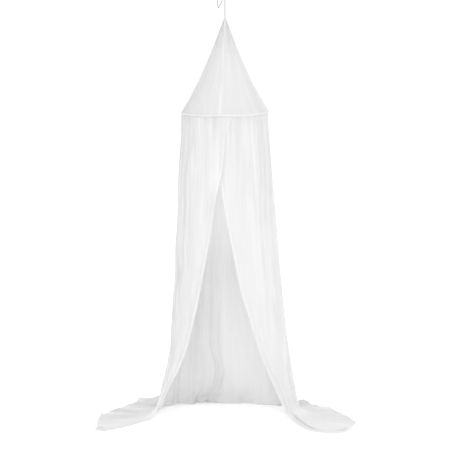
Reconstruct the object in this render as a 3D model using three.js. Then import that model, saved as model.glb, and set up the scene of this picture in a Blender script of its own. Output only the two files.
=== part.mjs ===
// Bed canopy with hoop: a cloth cone over a sewn-in hoop, and two long widths of cloth that hang from it,
// lap over each other at the front, part below like a tent door and spread out on the floor.
// Millimetres, +Z up, -Y to the front. The origin is the top of the hanging loop, where a ceiling hook goes.
// Heights in the constants and tables are above the floor that the lower hems lie on.

import * as THREE from "three";

// ---------------------------------------------------------------- driving dimensions
const CLOTH = 2; // thickness of every sheet
const GAP = 0.4; // clear space between pieces that are sewn or fitted together

// Tilts are in degrees, and so are the way that the casing's slit faces, in and down, and its half width.
// overHoop: how far a cloth's radius goes past the hoop's, where the two are sewn together.
const HOOP = { radius: 229, tube: 3.5, height: 1664, tiltForward: 2.4, tiltLeft: 0.9 };
const CASING = { outer: 6.4, inner: 4.9, slitFaces: 225, slitHalf: 14 };
const CONE = { apex: 2168, tip: 3.2, trueCone: 0.8, overHoop: 3.5, overCasing: 0.6 };
const DRAPE = { overHoop: 2.5 };
const CORD = { diameter: 3, sides: 8, step: 7.5 };
const LOOP = { top: 2332 }; // height of the loop's inside top

const LEVEL = { waist: 1050, knee: 420, ankle: 140 }; // heights that the guide tables give positions at

// How finely the pieces are divided.
const STEPS = {
  across: 44, hang: 12, turn: 3, floor: 4, // a panel
  coneRound: 40, coneDown: 7,
  ring: 48, hoopSection: 10, casingOutside: 8, casingInside: 7,
  knotRound: 12, knotTall: 8,
};

// ---------------------------------------------------------------- the drape's guide lines
// A row is one line of the cloth from the hoop down to the hem. across runs from the back seam, 0, to the
// front edge, 1. waist, knee and ankle are plan positions [x, y] at those heights. turn is the size of the bend
// where the cloth meets the floor, and hem is the plan position of the hem.
const BACK_SEAM = { waist: [-62, 255], knee: [-80, 266], ankle: [-80, 270], turn: 28, hem: [-140, 600] };

const LEFT_GUIDES = [
  { across: 0.0, ...BACK_SEAM },
  { across: 0.2, waist: [-190, 195], knee: [-212, 220], ankle: [-226, 236], turn: 32, hem: [-330, 520] },
  { across: 0.4, waist: [-250, 85], knee: [-286, 118], ankle: [-316, 165], turn: 45, hem: [-470, 370] },
  { across: 0.6, waist: [-250, -70], knee: [-295, -8], ankle: [-337, 58], turn: 68, hem: [-588, 165] },
  { across: 0.8, waist: [-186, -190], knee: [-268, -130], ankle: [-346, -52], turn: 80, hem: [-685, -45] },
  { across: 1.0, waist: [-70, -262], knee: [-200, -232], ankle: [-318, -140], turn: 80, hem: [-688, -420] },
];

const RIGHT_GUIDES = [
  { across: 0.0, ...BACK_SEAM },
  { across: 0.2, waist: [85, 255], knee: [92, 262], ankle: [98, 262], turn: 28, hem: [170, 520] },
  { across: 0.4, waist: [236, 150], knee: [272, 170], ankle: [298, 190], turn: 42, hem: [432, 315] },
  { across: 0.6, waist: [274, -10], knee: [340, 35], ankle: [378, 80], turn: 68, hem: [618, 95] },
  { across: 0.8, waist: [188, -190], knee: [305, -130], ankle: [368, -45], turn: 76, hem: [706, -215] },
  { across: 1.0, waist: [5, -256], knee: [176, -250], ankle: [285, -136], turn: 80, hem: [628, -445] },
];

// ---------------------------------------------------------------- the drape's folds
// A row is one fold: across is its middle at the hoop, lean how far the middle has moved by the hem, width
// its half width, all as shares of the panel. hoop, waist, knee, floor and hem are its height off the guide
// surface in millimetres at those places: a ridge stands out of the canopy, a valley, negative, goes in.
const FOLD_STATIONS = [0, 0.37, 0.78, 1.5, 3]; // how far down those five places are, as guidePoint counts
const LEFT_FOLDS = [
  { across: 0.05, lean: 0.0, width: 0.05, hoop: 1, waist: 3, knee: 8, floor: 10, hem: 6 },
  { across: 0.14, lean: 0.01, width: 0.045, hoop: -2, waist: -5, knee: -9, floor: -10, hem: 0 },
  { across: 0.23, lean: 0.01, width: 0.05, hoop: 2, waist: 6, knee: 10, floor: 14, hem: 12 },
  { across: 0.33, lean: 0.02, width: 0.05, hoop: -2, waist: -6, knee: -10, floor: -10, hem: 0 },
  { across: 0.42, lean: 0.0, width: 0.045, hoop: 3, waist: 5, knee: 8, floor: 16, hem: 20 },
  { across: 0.5, lean: 0.0, width: 0.04, hoop: -3, waist: -5, knee: -7, floor: -8, hem: 0 },
  { across: 0.575, lean: -0.02, width: 0.04, hoop: 1, waist: 2, knee: 5, floor: 14, hem: 18 },
  { across: 0.65, lean: -0.02, width: 0.04, hoop: -1, waist: -2, knee: -6, floor: -8, hem: 0 },
  { across: 0.73, lean: -0.03, width: 0.045, hoop: 2, waist: 3, knee: 7, floor: 10, hem: 10 },
  { across: 0.82, lean: -0.02, width: 0.045, hoop: -1, waist: -2, knee: -9, floor: -10, hem: 0 },
  { across: 0.91, lean: 0.0, width: 0.05, hoop: 1, waist: 2, knee: 8, floor: 12, hem: 8 },
];

const RIGHT_FOLDS = [
  { across: 0.03, lean: 0.0, width: 0.04, hoop: 1, waist: 8, knee: 16, floor: 12, hem: 6 },
  { across: 0.11, lean: 0.0, width: 0.05, hoop: -2, waist: -3, knee: -5, floor: -6, hem: 0 },
  { across: 0.21, lean: 0.01, width: 0.05, hoop: 2, waist: 4, knee: 7, floor: 12, hem: 10 },
  { across: 0.31, lean: 0.02, width: 0.05, hoop: -2, waist: -5, knee: -8, floor: -10, hem: 0 },
  { across: 0.41, lean: 0.01, width: 0.045, hoop: 3, waist: 6, knee: 9, floor: 14, hem: 16 },
  { across: 0.49, lean: 0.0, width: 0.04, hoop: -3, waist: -6, knee: -8, floor: -8, hem: 0 },
  { across: 0.56, lean: 0.0, width: 0.035, hoop: 3, waist: 6, knee: 8, floor: 10, hem: 14 },
  { across: 0.63, lean: 0.0, width: 0.035, hoop: -1, waist: -4, knee: -8, floor: -8, hem: 0 },
  { across: 0.7, lean: 0.01, width: 0.04, hoop: 2, waist: 3, knee: 8, floor: 10, hem: 8 },
  { across: 0.785, lean: 0.01, width: 0.045, hoop: -1, waist: -3, knee: -7, floor: -8, hem: 0 },
  { across: 0.87, lean: 0.0, width: 0.06, hoop: 0, waist: 2, knee: 7, floor: 14, hem: 10 },
  { across: 0.965, lean: 0.0, width: 0.025, hoop: 0, waist: -1, knee: -6, floor: -12, hem: -2 },
];

const BOW_START = 2; // how steeply a front edge's bow starts: 4 would make it a parabola

// hoopAngle: where a panel starts, at the back seam, and ends, at its front edge, in degrees round the hoop
// from +X. tuck: how much further in its front edge hangs than its back seam, to pass inside the other.
// bow: how far its front edge curves sideways on its way over the floor, to the right as it runs out.
// sway: how far its front edge hangs off a plain curve, towards +X, at rising heights.
const LEFT = {
  hoopAngle: [100, 279],
  tuck: 0,
  bow: 30,
  sway: { heights: [950, 1080, 1250, 1355, 1490, 1560, 1650], sideways: [0, -3, -9, 0, -11, -16, 0] },
  guides: LEFT_GUIDES,
  folds: LEFT_FOLDS,
};
const RIGHT = {
  hoopAngle: [100, -108.7],
  tuck: 8,
  bow: -88,
  sway: { heights: [700, 820, 950, 1250, 1400, 1650], sideways: [0, 4, 12, 11, 5, 0] },
  guides: RIGHT_GUIDES,
  folds: RIGHT_FOLDS,
};

// The cone's seam and soft creases: angle round the hoop and half width in degrees, height in millimetres.
const CONE_SEAM = { angle: -97.3, width: 7, height: 2.2 };
const CONE_FOLDS = [
  { angle: -150, width: 24, height: -4 },
  { angle: -122, width: 18, height: 3 },
  { angle: -60, width: 20, height: -4 },
  { angle: -25, width: 22, height: 4 },
  { angle: 20, width: 24, height: -4 },
  { angle: 70, width: 28, height: 4 },
  { angle: 120, width: 26, height: -4 },
  { angle: 170, width: 24, height: 4 },
];

// ---------------------------------------------------------------- the cord
// Knots are lumps: how wide and how tall they are, and where their middle is. Routes run from end to end.
const KNOTS = {
  stopper_knot: { across: 10, tall: 9, at: [0, 0, 2148] },
  loop_knot: { across: 10, tall: 12, at: [0, 0, 2296] },
  tail_knot: { across: 7, tall: 7, at: [-35, -4, 2226] },
};
const CORD_ROUTES = {
  hanging_cord: [[0, 0, 2153], [0, 0, 2200], [0, 0, 2245], [0, 0, 2289.5]],
  hanging_loop: [
    [-2.2, 0, 2302.4], [-5.5, 0, 2310], [-8.5, 0, 2319], [-7.5, 0, 2328], [0, 0, 2333.5],
    [7.5, 0, 2328], [8.5, 0, 2319], [5.5, 0, 2310], [2.2, 0, 2302.4],
  ],
  tail_strand_left: [
    [-5.5, -1, 2297], [-14, -2, 2302], [-26, -3, 2301], [-36, -4, 2292], [-40.5, -4, 2276],
    [-41, -4, 2258], [-39, -4, 2243], [-36.4, -4, 2230.5],
  ],
  tail_strand_right: [
    [-3.6, -3, 2290.6], [-9, -4, 2277], [-14, -4, 2264], [-21, -4, 2248], [-31.5, -4, 2230.6],
  ],
};

// ---------------------------------------------------------------- helpers
const radians = THREE.MathUtils.degToRad;
const smoothstep = THREE.MathUtils.smoothstep;

// A smooth curve through the values given at rising stations.
function through(stations, values, at) {
  const last = stations.length - 1;
  let i = 0;
  while (i < last - 1 && at > stations[i + 1]) i += 1;
  const step = stations[i + 1] - stations[i];
  const u = (at - stations[i]) / step;
  const slope = (k) => {
    const before = Math.max(k - 1, 0);
    const after = Math.min(k + 1, last);
    return (values[after] - values[before]) / (stations[after] - stations[before]);
  };
  const start = values[i] * (2 * u ** 3 - 3 * u ** 2 + 1) + values[i + 1] * (3 * u ** 2 - 2 * u ** 3);
  return start + step * (slope(i) * (u ** 3 - 2 * u ** 2 + u) + slope(i + 1) * (u ** 3 - u ** 2));
}

// Straight lines between the values.
function between(stations, values, at) {
  let i = 0;
  while (i < stations.length - 2 && at > stations[i + 1]) i += 1;
  return THREE.MathUtils.mapLinear(at, stations[i], stations[i + 1], values[i], values[i + 1]);
}

// 1 at the middle of a fold, 0 from its width outwards.
function bump(distance, width) {
  return Math.abs(distance) < width ? Math.cos((Math.PI / 2) * (distance / width)) ** 2 : 0;
}

const hoopTilt = new THREE.Euler(radians(HOOP.tiltForward), radians(-HOOP.tiltLeft), 0);
const hoopCentre = new THREE.Vector3(0, 0, HOOP.height);

// A point in the tilted hoop's own frame: an angle in degrees, a radius and a height over the hoop's middle.
function onHoop(angle, radius, up) {
  const a = radians(angle);
  const flat = new THREE.Vector3(radius * Math.cos(a), radius * Math.sin(a), up);
  return flat.applyEuler(hoopTilt).add(hoopCentre);
}

// ---------------------------------------------------------------- the drape
// One guide line at any place across a panel, worked out from the rows on both sides of it.
function guideAt(panel, across) {
  const stations = panel.guides.map((row) => row.across);
  const column = (pick) => through(stations, panel.guides.map(pick), across);
  const place = (key) => new THREE.Vector2(column((row) => row[key][0]), column((row) => row[key][1]));
  return {
    waist: place("waist"),
    knee: place("knee"),
    ankle: place("ankle"),
    hem: place("hem"),
    turn: column((row) => row.turn),
    bow: panel.bow * smoothstep(across, 0.7, 1),
  };
}

// How far the cloth near a panel's front edge hangs to the side of its guide line, at a height.
function swayAt(panel, across, z) {
  const { heights, sideways } = panel.sway;
  const within = THREE.MathUtils.clamp(z, heights[0], heights.at(-1));
  return through(heights, sideways, within) * smoothstep(across, 0.85, 1);
}

// The unfolded cloth. down is 0 at the hoop, 1 where the bend to the floor starts, 2 where it ends and 3 at
// the hem.
function guidePoint(panel, across, down) {
  const guide = guideAt(panel, across);
  const angle = THREE.MathUtils.lerp(...panel.hoopAngle, across);
  const radius = HOOP.radius + DRAPE.overHoop - panel.tuck * smoothstep(across, 0.5, 1);
  const top = onHoop(angle, radius, -CASING.outer - GAP);
  const floor = CLOTH / 2;
  const depths = [0, top.z - LEVEL.waist, top.z - LEVEL.knee, top.z - LEVEL.ankle];
  const fall = guide.ankle.clone().sub(guide.knee).divideScalar(LEVEL.knee - LEVEL.ankle);
  const hang = (z) => {
    if (z < LEVEL.ankle) return guide.ankle.clone().addScaledVector(fall, LEVEL.ankle - z);
    const places = [top, guide.waist, guide.knee, guide.ankle];
    const coordinate = (axis) => through(depths, places.map((p) => p[axis]), top.z - z);
    return new THREE.Vector2(coordinate("x"), coordinate("y"));
  };
  if (down <= 1) {
    const z = THREE.MathUtils.lerp(top.z, guide.turn + floor, down);
    const place = hang(z);
    return new THREE.Vector3(place.x + swayAt(panel, across, z), place.y, z);
  }
  const corner = hang(floor);
  const reach = guide.hem.clone().sub(corner);
  const aside = new THREE.Vector2(-reach.y, reach.x).normalize().multiplyScalar(guide.bow);
  const ahead = reach.clone().addScaledVector(aside, BOW_START).normalize();
  const landing = corner.clone().addScaledVector(ahead, guide.turn);
  if (down <= 2) {
    const start = hang(guide.turn + floor);
    const bend = new THREE.QuadraticBezierCurve3(
      new THREE.Vector3(start.x, start.y, guide.turn + floor),
      new THREE.Vector3(corner.x, corner.y, floor),
      new THREE.Vector3(landing.x, landing.y, floor),
    );
    return bend.getPoint(down - 1);
  }
  const run = down - 2;
  const bowed = run * (1 - run) * (BOW_START + 4 * run); // 0 at either end and 1 half way
  const place = landing.lerp(guide.hem, run).addScaledVector(aside, bowed);
  return new THREE.Vector3(place.x, place.y, floor);
}

// How far the folds lift the cloth off its guide surface. On the floor only ridges are left.
function foldHeight(panel, across, down) {
  let height = 0;
  for (const fold of panel.folds) {
    const middle = fold.across + (fold.lean * down) / 3;
    const heights = [fold.hoop, fold.waist, fold.knee, fold.floor, fold.hem];
    height += between(FOLD_STATIONS, heights, down) * bump(across - middle, fold.width);
  }
  const onFloor = smoothstep(down, 1, 2);
  return height < 0 ? height * (1 - onFloor) : height;
}

// Unit normal of a surface function, out of the canopy and up on the floor.
function outward(surface, across, down, side) {
  const reach = 0.004; // how far to each side the slope is read
  const a0 = Math.max(across - reach, 0);
  const a1 = Math.min(across + reach, 1);
  const b0 = Math.max(down - reach, 0);
  const b1 = Math.min(down + reach, 3);
  const sideways = surface(a1, down).sub(surface(a0, down));
  const downwards = surface(across, b1).sub(surface(across, b0));
  return sideways.cross(downwards).normalize().multiplyScalar(side);
}

// ---------------------------------------------------------------- solids
// A closed sheet from a grid of { point, normal }: grid[i][j], i across and j down. wrapped joins the last
// column to the first. The grid is the middle of the sheet.
function sheetGeometry(grid, wrapped = false) {
  const columns = grid.length;
  const rows = grid[0].length;
  const positions = [];
  for (const side of [1, -1]) {
    for (const column of grid) {
      for (const { point, normal } of column) {
        positions.push(...point.clone().addScaledVector(normal, (side * CLOTH) / 2).toArray());
      }
    }
  }
  const at = (layer, i, j) => (layer * columns + (i % columns)) * rows + j;
  const triangles = [];
  const quad = (a, b, c, d) => triangles.push(a, b, c, a, c, d);
  const spans = wrapped ? columns : columns - 1;
  for (let i = 0; i < spans; i += 1) {
    for (let j = 0; j < rows - 1; j += 1) {
      quad(at(0, i, j), at(0, i, j + 1), at(0, i + 1, j + 1), at(0, i + 1, j));
      quad(at(1, i, j), at(1, i + 1, j), at(1, i + 1, j + 1), at(1, i, j + 1));
    }
    quad(at(0, i, 0), at(0, i + 1, 0), at(1, i + 1, 0), at(1, i, 0));
    quad(at(0, i, rows - 1), at(1, i, rows - 1), at(1, i + 1, rows - 1), at(0, i + 1, rows - 1));
  }
  for (let j = 0; !wrapped && j < rows - 1; j += 1) {
    quad(at(0, 0, j), at(1, 0, j), at(1, 0, j + 1), at(0, 0, j + 1));
    quad(at(0, spans, j), at(0, spans, j + 1), at(1, spans, j + 1), at(1, spans, j));
  }
  const geometry = new THREE.BufferGeometry();
  geometry.setAttribute("position", new THREE.Float32BufferAttribute(positions, 3));
  geometry.setIndex(triangles);
  geometry.computeVertexNormals();
  return geometry;
}

// One width of the drape. side is -1 for the panel whose across runs round the hoop the way angles grow.
function panelGeometry(panel, side) {
  const folded = (across, down) => {
    const normal = outward((a, b) => guidePoint(panel, a, b), across, down, side);
    return guidePoint(panel, across, down).addScaledVector(normal, foldHeight(panel, across, down));
  };
  const downs = [];
  for (let j = 0; j < STEPS.hang; j += 1) downs.push(j / STEPS.hang);
  for (let j = 0; j < STEPS.turn; j += 1) downs.push(1 + j / STEPS.turn);
  for (let j = 0; j <= STEPS.floor; j += 1) downs.push(2 + j / STEPS.floor);
  const grid = [];
  for (let i = 0; i <= STEPS.across; i += 1) {
    const across = i / STEPS.across;
    const column = downs.map((down) => ({
      point: folded(across, down),
      normal: outward(folded, across, down, side),
    }));
    grid.push(column);
  }
  // The back seam: the two panels' edges stand half a gap away from it each.
  grid[0].forEach((cell, j) => {
    const inwards = grid[1][j].point.clone().sub(cell.point).normalize();
    cell.point.addScaledVector(inwards, GAP / 2);
  });
  return sheetGeometry(side > 0 ? grid.reverse() : grid);
}

// The cone: lines from its tip to the hoop, with the seam and soft creases. A share of each line, trueCone, is
// straight, and the rest draws it in a little half way.
function coneGeometry() {
  const grid = [];
  for (let i = 0; i < STEPS.coneRound; i += 1) {
    const angle = CONE_SEAM.angle + (360 * i) / STEPS.coneRound;
    const base = onHoop(angle, HOOP.radius + CONE.overHoop, CASING.outer + CONE.overCasing);
    const flat = new THREE.Vector3(base.x, base.y, 0);
    const tip = flat.clone().setLength(CONE.tip).setZ(CONE.apex);
    const normal = flat.clone().normalize().setZ(flat.length() / (CONE.apex - base.z)).normalize();
    const column = [];
    for (let j = 0; j <= STEPS.coneDown; j += 1) {
      const down = j / STEPS.coneDown;
      const share = CONE.trueCone * down + (1 - CONE.trueCone) * down ** 3;
      const point = tip.clone().lerp(base, share).setZ(THREE.MathUtils.lerp(tip.z, base.z, down));
      point.addScaledVector(normal, coneFold(angle, down));
      column.push({ point, normal });
    }
    grid.push(column);
  }
  return sheetGeometry(grid, true);
}

// How far the seam and the creases lift the cone's cloth. They fade out at the tip and at the hoop.
function coneFold(angle, down) {
  const apart = (other) => THREE.MathUtils.euclideanModulo(angle - other + 180, 360) - 180;
  let height = CONE_SEAM.height * bump(apart(CONE_SEAM.angle), CONE_SEAM.width);
  for (const fold of CONE_FOLDS) {
    height += fold.height * bump(apart(fold.angle), fold.width) * Math.sin(Math.PI * down);
  }
  return height * smoothstep(down, 0, 0.3) * (1 - smoothstep(down, 0.8, 1));
}

// A ring that follows the hoop, from the closed outline of its cross-section round the hoop's middle.
function ringGeometry(outline) {
  const closed = [...outline, outline[0]];
  const profile = closed.map(([out, up]) => new THREE.Vector2(HOOP.radius + out, up));
  return new THREE.LatheGeometry(profile, STEPS.ring).rotateX(Math.PI / 2);
}

// Points on a circle from one angle to another, in degrees.
function circle(radius, from, to, count) {
  const points = [];
  for (let i = 0; i < count; i += 1) {
    const a = radians(THREE.MathUtils.mapLinear(i, 0, count - 1, from, to));
    points.push([radius * Math.cos(a), radius * Math.sin(a)]);
  }
  return points;
}

function wholeCircle(radius, count) {
  return circle(radius, 0, 360 - 360 / count, count);
}

function hoopGeometry() {
  return ringGeometry(wholeCircle(HOOP.tube, STEPS.hoopSection));
}

// A sleeve with a slit all round, where its edges are caught into the seam below.
function casingGeometry() {
  const from = CASING.slitFaces + CASING.slitHalf;
  const to = CASING.slitFaces + 360 - CASING.slitHalf;
  const outside = circle(CASING.outer, from, to, STEPS.casingOutside);
  const inside = circle(CASING.inner, to, from, STEPS.casingInside);
  return ringGeometry([...outside, ...inside]);
}

// A cord along a route of [x, y, z] points.
function cordGeometry(route) {
  const path = new THREE.CatmullRomCurve3(route.map((p) => new THREE.Vector3(...p)), false, "centripetal");
  const outline = wholeCircle(CORD.diameter / 2, CORD.sides).map((p) => new THREE.Vector2(...p));
  const section = new THREE.Shape(outline);
  const steps = Math.round(path.getLength() / CORD.step);
  return new THREE.ExtrudeGeometry(section, { extrudePath: path, steps, bevelEnabled: false });
}

// A knot: a rounded lump, wider than it is tall.
function knotGeometry(across, tall, [x, y, z]) {
  const lump = new THREE.SphereGeometry(across / 2, STEPS.knotRound, STEPS.knotTall).rotateX(Math.PI / 2);
  return lump.scale(1, 1, tall / across).translate(x, y, z);
}

// ---------------------------------------------------------------- the canopy
const cloth = (colour) => new THREE.MeshStandardMaterial({ color: colour, roughness: 0.95, metalness: 0 });
const hoopMaterial = new THREE.MeshStandardMaterial({ color: 0xe8e6e0, roughness: 0.5, metalness: 0 });
const cordMaterial = new THREE.MeshStandardMaterial({ color: 0xd9d6cd, roughness: 0.9, metalness: 0 });
const canopy = new THREE.Group();
canopy.position.z = -LOOP.top;

function add(name, geometry, material) {
  const mesh = new THREE.Mesh(geometry, material);
  mesh.name = name;
  canopy.add(mesh);
  return mesh;
}

const hoop = add("hoop", hoopGeometry(), hoopMaterial);
const casing = add("hoop_casing", casingGeometry(), cloth(0xf8f7f4));
for (const ring of [hoop, casing]) {
  ring.rotation.copy(hoopTilt);
  ring.position.copy(hoopCentre);
}
add("cone_top", coneGeometry(), cloth(0xf5f4f1));
add("panel_left", panelGeometry(LEFT, -1), cloth(0xf7f6f3));
add("panel_right", panelGeometry(RIGHT, 1), cloth(0xf6f5f2));
for (const [name, route] of Object.entries(CORD_ROUTES)) add(name, cordGeometry(route), cordMaterial);
for (const [name, { across, tall, at }] of Object.entries(KNOTS)) {
  add(name, knotGeometry(across, tall, at), cordMaterial);
}

const part = new THREE.Group();
part.add(canopy);
export default part;
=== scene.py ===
# %% [markdown]
# # A bed canopy with its hoop
# A bed canopy is a cone of fine cotton over a sewn-in hoop, and two long widths of the same cotton that hang
# from the hoop, lap over each other at the front and spread out on the floor. This notebook dresses the
# plain solids of such a canopy: it makes the real cord, hoop, sleeve, cone and widths around them, with
# their fine folds, hems and stitching. Everything is in metres, with +Z up and the front towards -Y. The
# origin is the top of the hanging loop, so the floor is far below it, at a negative height.

# %% Load the solids
from math import pi, radians, tau
from types import SimpleNamespace

import bpy
import numpy as np
from mathutils import Matrix, Vector, noise


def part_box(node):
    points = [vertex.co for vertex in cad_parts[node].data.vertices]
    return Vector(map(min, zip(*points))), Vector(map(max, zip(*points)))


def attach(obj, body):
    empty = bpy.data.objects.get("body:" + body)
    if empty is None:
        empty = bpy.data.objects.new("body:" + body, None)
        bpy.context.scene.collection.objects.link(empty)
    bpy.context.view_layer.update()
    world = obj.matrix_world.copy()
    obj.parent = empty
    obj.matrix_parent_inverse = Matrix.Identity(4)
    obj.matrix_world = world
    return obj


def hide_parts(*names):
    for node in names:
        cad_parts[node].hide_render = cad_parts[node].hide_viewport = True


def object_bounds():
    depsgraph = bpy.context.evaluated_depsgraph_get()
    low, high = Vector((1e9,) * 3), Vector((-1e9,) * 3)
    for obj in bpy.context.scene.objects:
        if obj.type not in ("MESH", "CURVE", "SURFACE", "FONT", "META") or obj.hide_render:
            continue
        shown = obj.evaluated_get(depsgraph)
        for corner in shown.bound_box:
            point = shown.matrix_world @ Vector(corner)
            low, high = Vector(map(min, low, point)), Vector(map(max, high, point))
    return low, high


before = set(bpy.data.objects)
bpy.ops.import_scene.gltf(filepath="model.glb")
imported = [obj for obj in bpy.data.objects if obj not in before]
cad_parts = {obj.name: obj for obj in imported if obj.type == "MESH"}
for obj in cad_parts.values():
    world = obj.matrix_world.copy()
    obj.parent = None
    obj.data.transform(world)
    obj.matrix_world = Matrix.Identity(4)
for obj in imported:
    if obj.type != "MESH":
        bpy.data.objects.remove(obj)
CAD_LOW, CAD_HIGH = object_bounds()
FLOOR = CAD_LOW.z  # the lower hems lie at this height
print("nodes:", ", ".join(sorted(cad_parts)))
print("floor at", round(FLOOR, 3), "m below the loop")

# %% [markdown]
# ## The camera
# The canopy is seen from the front, from far off and from a little over the middle of its height, through a
# long lens. That keeps its sides nearly parallel, and it still shows the cloth on the floor from above.

# %% Camera
EYE_DISTANCE = 8.75
EYE_HEIGHT = 2.01  # above the floor
EYE_ASIDE = 0.0003
LOOKS_DOWN = radians(6.25)
LENS = 129.4  # in millimetres, as the sensor is
SENSOR = 36

bpy.ops.object.select_all(action="DESELECT")
bpy.ops.object.camera_add(
    location=(EYE_ASIDE, -EYE_DISTANCE, FLOOR + EYE_HEIGHT), rotation=(pi / 2 - LOOKS_DOWN, 0, 0)
)
camera = bpy.context.object
camera.name = "front_camera"
camera.data.lens = LENS
camera.data.sensor_width = SENSOR
camera.data.clip_end = 100
bpy.context.scene.camera = camera
print("camera", EYE_DISTANCE, "m in front, lens", LENS, "mm")

# %% [markdown]
# ## Making meshes from grids
# Cloth and cord are surfaces that run along two directions, so they are worked out as grids of points: rows
# and columns of numpy arrays. One helper turns a grid into a mesh and gives it a UV map in metres, measured
# along the cloth itself. A weave or a row of stitches can then follow the cloth wherever it hangs.

# %% From a grid to a mesh
def ease(x, start, end):
    """0 before start, 1 past end, and a soft step between them. End may also be the lower of the two."""
    t = np.clip((x - start) / (end - start), 0, 1)
    return t * t * (3 - 2 * t)


def run_lengths(points, axis):
    """How far along a grid each point lies, measured over the surface."""
    steps = np.linalg.norm(np.diff(points, axis=axis), axis=-1)
    start = np.zeros_like(np.take(steps, [0], axis=axis))
    return np.concatenate([start, np.cumsum(steps, axis=axis)], axis=axis)


def grid_mesh(name, points, maps, wrap_across=False, wrap_down=False, facts=None):
    """A mesh object from points[i, j], with the named UV maps and a named attribute for each of the facts.
    A map has one value for each point. Where the grid is closed round, it has one more, for the last step."""
    columns, rows = points.shape[:2]
    i, j = np.meshgrid(
        np.arange(columns if wrap_across else columns - 1),
        np.arange(rows if wrap_down else rows - 1),
        indexing="ij",
    )
    right, below = (i + 1) % columns, (j + 1) % rows
    quads = np.stack([i * rows + j, i * rows + below, right * rows + below, right * rows + j], axis=-1)
    mesh = bpy.data.meshes.new(name)
    mesh.from_pydata(points.reshape(-1, 3).tolist(), [], quads.reshape(-1, 4).tolist())
    across = np.stack([i, i, i + 1, i + 1], axis=-1).ravel()
    down = np.stack([j, j + 1, j + 1, j], axis=-1).ravel()
    for key, uv in maps.items():
        layer = mesh.uv_layers.new(name=key)
        layer.data.foreach_set("uv", uv[across, down].astype(np.float32).ravel())
    for key, values in (facts or {}).items():
        attribute = mesh.attributes.new(key, "FLOAT", "POINT")
        attribute.data.foreach_set("value", values.astype(np.float32).ravel())
    piece = bpy.data.objects.new(name, mesh)
    bpy.context.collection.objects.link(piece)
    return piece


def only(piece):
    """Select this piece alone, so that the next operator acts on nothing else."""
    bpy.ops.object.select_all(action="DESELECT")
    piece.select_set(True)
    bpy.context.view_layer.objects.active = piece


def thicken(piece, thickness, thin_share=1.0, thick_group=None):
    """Turn a surface into a closed sheet, with the surface in its middle. Outside the group it is thinner."""
    only(piece)
    solid = piece.modifiers.new("thickness", "SOLIDIFY")
    solid.thickness = thickness
    solid.offset = 0
    if thick_group is not None:
        solid.vertex_group = thick_group
        solid.thickness_vertex_group = thin_share
    bpy.ops.object.modifier_apply(modifier=solid.name)


def smooth(piece, angle=50):
    only(piece)
    bpy.ops.object.shade_smooth_by_angle(angle=radians(angle))


def triangles(piece):
    return sum(len(face.vertices) - 2 for face in piece.data.polygons)


# %% [markdown]
# ## Shader maths as Python
# A material is a graph of nodes, which is slow to write out one node at a time. Link wraps the output of a
# node, and its sums and products add the Math nodes, so that a pattern reads as a formula. Finish holds one
# material and adds any other node from its type, its settings and what goes into its sockets.

# %% Shader tools
class Link:
    """The output of a shader node, which can be used in sums."""

    def __init__(self, finish, socket):
        self.finish = finish
        self.socket = socket

    def maths(self, operation, *numbers):
        return self.finish.node("ShaderNodeMath", {"operation": operation}, dict(enumerate(numbers)))

    def __add__(self, other):
        return self.maths("ADD", self, other)

    def __radd__(self, other):
        return self.maths("ADD", other, self)

    def __sub__(self, other):
        return self.maths("SUBTRACT", self, other)

    def __rsub__(self, other):
        return self.maths("SUBTRACT", other, self)

    def __mul__(self, other):
        return self.maths("MULTIPLY", self, other)

    def __rmul__(self, other):
        return self.maths("MULTIPLY", other, self)

    def __truediv__(self, other):
        return self.maths("DIVIDE", self, other)

    def sine(self):
        return self.maths("SINE", self)

    def size(self):
        return self.maths("ABSOLUTE", self)

    def fraction(self):
        return self.maths("FRACT", self)


class Finish:
    """One material, built from the surface back to its patterns."""

    def __init__(self, name):
        self.material = bpy.data.materials.new(name)
        self.material.use_nodes = True
        self.material.node_tree.nodes.clear()

    def node(self, kind, settings=None, sockets=None, output=0):
        made = self.material.node_tree.nodes.new(kind)
        for key, value in (settings or {}).items():
            setattr(made, key, value)
        for key, value in (sockets or {}).items():
            if isinstance(value, Link):
                self.material.node_tree.links.new(value.socket, made.inputs[key])
            else:
                made.inputs[key].default_value = value
        return Link(self, made.outputs[output])

    def cloth_place(self, uv_map="cloth_metres"):
        """Metres across and down the cloth, as two links."""
        uv = self.node("ShaderNodeUVMap", {"uv_map": uv_map})
        return [self.node("ShaderNodeSeparateXYZ", sockets={0: uv}, output=axis) for axis in (0, 1)]

    def cloud(self, at, scale=1.0, detail=2.0, rough=0.5):
        """Soft noise from 0 to 1."""
        sockets = {"Vector": at, "Scale": scale, "Detail": detail, "Roughness": rough}
        return self.node("ShaderNodeTexNoise", {"noise_dimensions": "3D"}, sockets)

    def patches(self, across, down, detail=2.0, rough=0.5):
        """Soft noise on the cloth, with one patch for each unit across and down."""
        at = self.node("ShaderNodeCombineXYZ", sockets={0: across, 1: down})
        return self.cloud(at, detail=detail, rough=rough)

    def fact(self, name):
        """A number stored on the mesh."""
        settings = {"attribute_type": "GEOMETRY", "attribute_name": name}
        return self.node("ShaderNodeAttribute", settings, output=2)

    def ease(self, value, low, high):
        """0 below low, 1 above high, and a soft step between them."""
        sockets = {"Value": value, "From Min": low, "From Max": high}
        return self.node("ShaderNodeMapRange", {"interpolation_type": "SMOOTHSTEP"}, sockets)

    def tint(self, share, first, second):
        """A colour between two colours."""
        settings = {"data_type": "RGBA"}
        return self.node("ShaderNodeMix", settings, {0: share, 6: first, 7: second}, output=2)

    def relief(self, height):
        """A normal that shows a height in metres."""
        return self.node("ShaderNodeBump", sockets={"Height": height, "Distance": 1.0, "Strength": 1.0})

    def surface(self, shader):
        out = self.material.node_tree.nodes.new("ShaderNodeOutputMaterial")
        self.material.node_tree.links.new(shader.socket, out.inputs["Surface"])
        return self.material


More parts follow.
